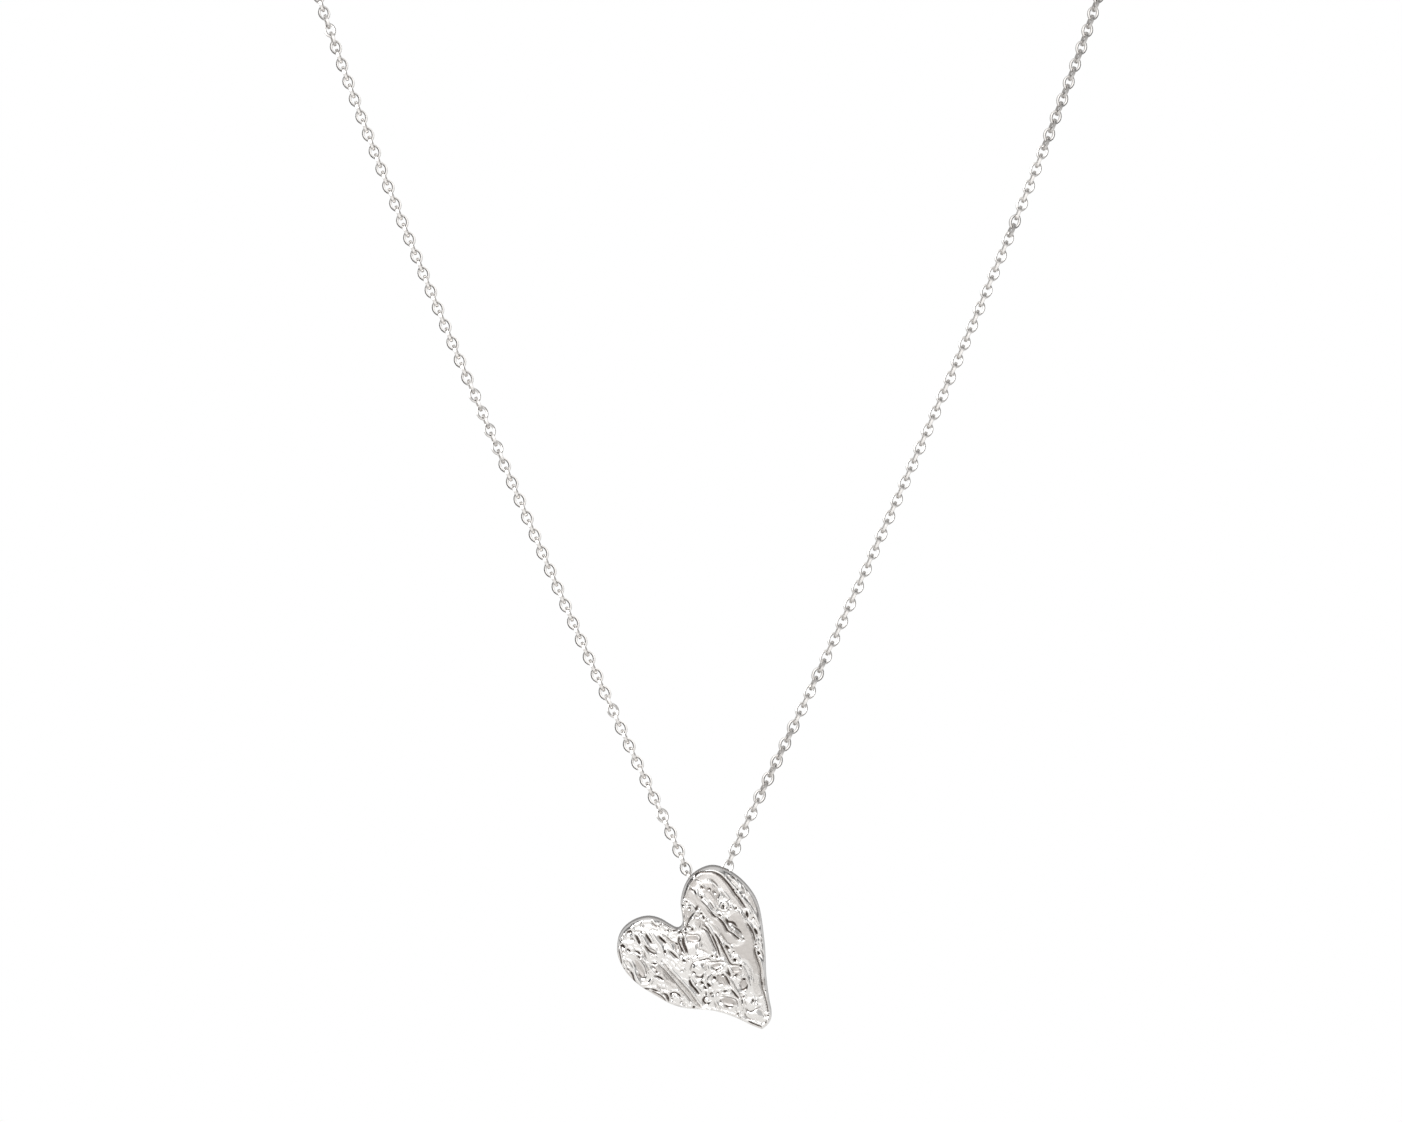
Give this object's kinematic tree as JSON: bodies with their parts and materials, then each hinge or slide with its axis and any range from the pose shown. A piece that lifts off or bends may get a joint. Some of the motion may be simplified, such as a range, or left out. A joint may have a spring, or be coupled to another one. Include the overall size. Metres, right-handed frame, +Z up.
{
  "type": "heart pendant necklace",
  "caption": "Necklace with a lopsided cast heart pendant, crumpled relief face and a hidden back bail on a fine oval cable chain.",
  "frame": {"origin": "middle of the neck hollow, level with the chain at the nape", "axes": "+X to the viewer's right, +Y away from the viewer towards the nape, +Z up; the heart hangs at the front, low on -Y"},
  "size_m": [0.104, 0.1042, 0.1514],
  "materials": {
    "cast_silver": "cast silver with a crumpled, polished face",
    "chain_silver": "polished silver wire"
  },
  "bodies": {
    "necklace": {"chain": "chain_silver", "clasp": "chain_silver", "clasp_ring": "chain_silver", "end_ring": "chain_silver"},
    "pendant": {"heart": "cast_silver"}
  },
  "joints": [
    {"name": "pendant_swing", "type": "hinge", "parent": "necklace", "child": "pendant", "pos_m": [-0.00018, -0.055, -0.13135], "axis": [1, 0, 0], "range_deg": [-30, 75]}
  ]
}
